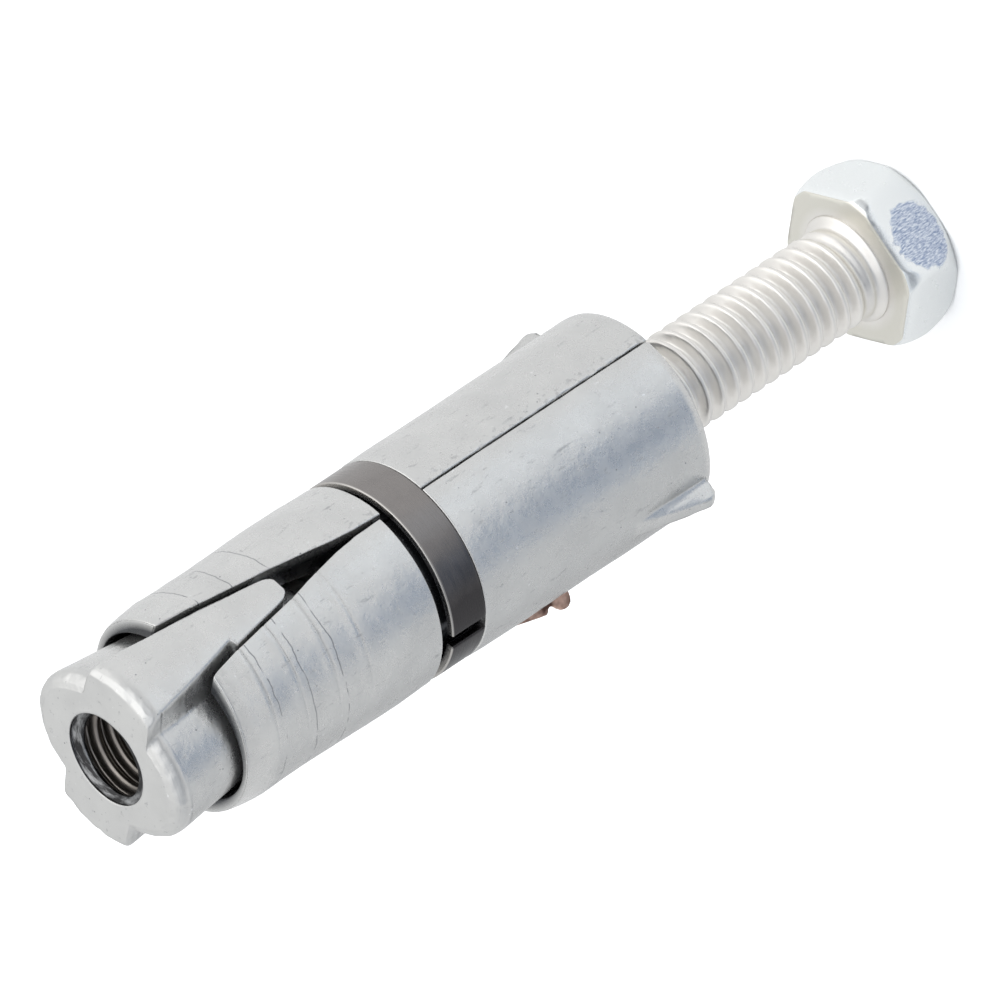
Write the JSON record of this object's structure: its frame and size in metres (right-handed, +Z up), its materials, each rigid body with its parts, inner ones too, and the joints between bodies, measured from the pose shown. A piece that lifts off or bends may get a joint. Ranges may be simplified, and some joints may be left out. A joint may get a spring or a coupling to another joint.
{
  "type": "expansion shield",
  "caption": "Split zinc sleeve with a retaining band, a keyed cone nut and a hex head bolt that draws the nut in to spread the sleeve in a drilled hole.",
  "frame": {"origin": "on the bolt's axis in the plane of the sleeve's rear end, which is the mouth of the drilled hole", "axes": "+Z up along the bolt from its head to the nut, which is into the drilled hole, as the anchor stands on the bolt's head; the split between the halves lies in the plane Y = 0, +Y through the far half's fin"},
  "size_m": [0.0166, 0.0198, 0.0803],
  "materials": {
    "zinc_casting": "as cast, dull with a fine grain",
    "plated_steel": "bright zinc plated",
    "band_steel": "dark rolled strip"
  },
  "bodies": {
    "band": {"retaining_band": "band_steel"},
    "bolt": {"hex_bolt": "plated_steel"},
    "nut": {"cone_nut": "zinc_casting"},
    "near_half": {"shield_half_near": "zinc_casting"},
    "far_half": {"shield_half_far": "zinc_casting"}
  },
  "joints": [
    {"name": "bolt_turn", "type": "hinge", "parent": "band", "child": "bolt", "pos_m": [0, 0, 0], "axis": [0, 0, 1], "range_deg": [0, 1080]},
    {"name": "nut_draw", "type": "slide", "parent": "band", "child": "nut", "axis": [0, 0, -1], "range_m": [0, 0.00424]},
    {"name": "near_half_spread", "type": "hinge", "parent": "band", "child": "near_half", "pos_m": [0, 0, 0], "axis": [1, 0, 0], "range_deg": [0, 0.851]},
    {"name": "far_half_spread", "type": "hinge", "parent": "band", "child": "far_half", "pos_m": [0, 0, 0], "axis": [-1, 0, 0], "range_deg": [0, 0.851]}
  ],
  "couplings": [
    {"joint": "nut_draw", "follows": "bolt_turn", "m_per_rad": 0.00022458},
    {"joint": "near_half_spread", "follows": "bolt_turn", "ratio": 0.00078704},
    {"joint": "far_half_spread", "follows": "bolt_turn", "ratio": 0.00078704}
  ]
}
